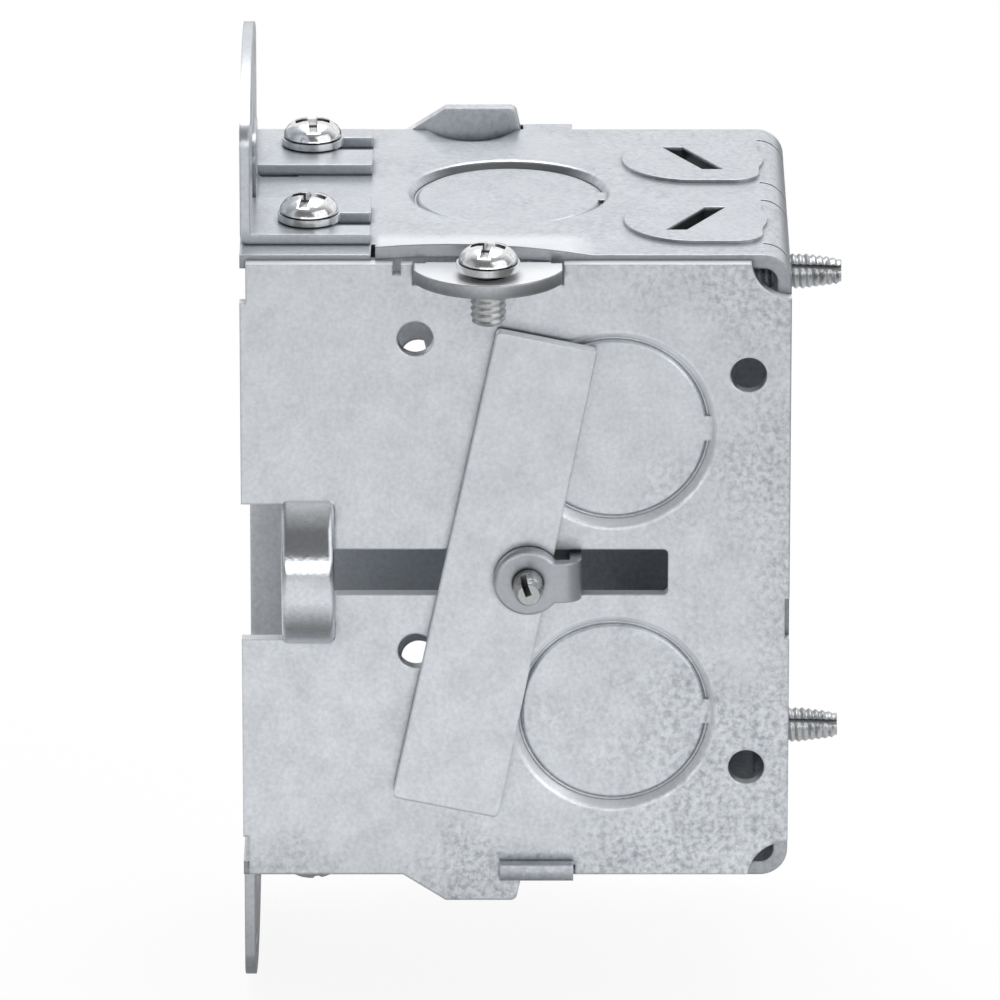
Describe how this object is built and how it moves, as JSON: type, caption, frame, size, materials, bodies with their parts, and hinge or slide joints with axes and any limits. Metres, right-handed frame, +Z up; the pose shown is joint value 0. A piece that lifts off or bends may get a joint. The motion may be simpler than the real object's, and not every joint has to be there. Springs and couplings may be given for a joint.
{
  "type": "gangable switch box",
  "caption": "Folded galvanised steel switch box with removable side plates, adjustable plaster ears, cable clamps and swing bars that grip the back of a wall board.",
  "frame": {"origin": "midway between the two device screw holes, in the tabs' front face", "axes": "+Z up the long side, -Y out of the open front, +X to the side plate whose lug is at the top"},
  "size_m": [0.0674, 0.0699, 0.114],
  "materials": {
    "galvanised_sheet": "galvanised, spangled",
    "bright_zinc_screw": "bright zinc plate"
  },
  "bodies": {
    "box": {"box_body": "galvanised_sheet", "side_plate_right": "galvanised_sheet", "side_plate_left": "galvanised_sheet", "gang_screw_right": "bright_zinc_screw", "gang_screw_left": "bright_zinc_screw", "cable_clamp_screw_upper": "bright_zinc_screw", "cable_clamp_screw_lower": "bright_zinc_screw", "ear_screw_upper_right": "bright_zinc_screw", "ear_screw_upper_left": "bright_zinc_screw", "ear_screw_lower_right": "bright_zinc_screw", "ear_screw_lower_left": "bright_zinc_screw"},
    "hanger_right": {"bar_hanger_right": "galvanised_sheet", "bar_pivot_screw_right": "bright_zinc_screw"},
    "bar_right": {"swing_bar_right": "galvanised_sheet"},
    "hanger_left": {"bar_hanger_left": "galvanised_sheet", "bar_pivot_screw_left": "bright_zinc_screw"},
    "bar_left": {"swing_bar_left": "galvanised_sheet"},
    "ear_upper": {"plaster_ear_upper": "galvanised_sheet"},
    "ear_lower": {"plaster_ear_lower": "galvanised_sheet"},
    "clamp_upper": {"cable_clamp_upper": "galvanised_sheet"},
    "clamp_lower": {"cable_clamp_lower": "galvanised_sheet"}
  },
  "joints": [
    {"name": "hanger_slide_right", "type": "slide", "parent": "box", "child": "hanger_right", "axis": [0, 1, 0], "range_m": [-0.0104, 0.0096]},
    {"name": "bar_swing_right", "type": "hinge", "parent": "hanger_right", "child": "bar_right", "pos_m": [0.0268, 0.0332, 0], "axis": [1, 0, 0], "range_deg": [0, 23]},
    {"name": "hanger_slide_left", "type": "slide", "parent": "box", "child": "hanger_left", "axis": [0, 1, 0], "range_m": [-0.0104, 0.0096]},
    {"name": "bar_swing_left", "type": "hinge", "parent": "hanger_left", "child": "bar_left", "pos_m": [-0.0268, 0.0332, 0], "axis": [-1, 0, 0], "range_deg": [0, 23]},
    {"name": "ear_slide_upper", "type": "slide", "parent": "box", "child": "ear_upper", "axis": [0, -1, 0], "range_m": [0, 0.0036]},
    {"name": "ear_slide_lower", "type": "slide", "parent": "box", "child": "ear_lower", "axis": [0, -1, 0], "range_m": [0, 0.0036]},
    {"name": "clamp_slide_upper", "type": "slide", "parent": "box", "child": "clamp_upper", "axis": [0, 1, 0], "range_m": [0, 0.011]},
    {"name": "clamp_slide_lower", "type": "slide", "parent": "box", "child": "clamp_lower", "axis": [0, 1, 0], "range_m": [0, 0.011]}
  ]
}
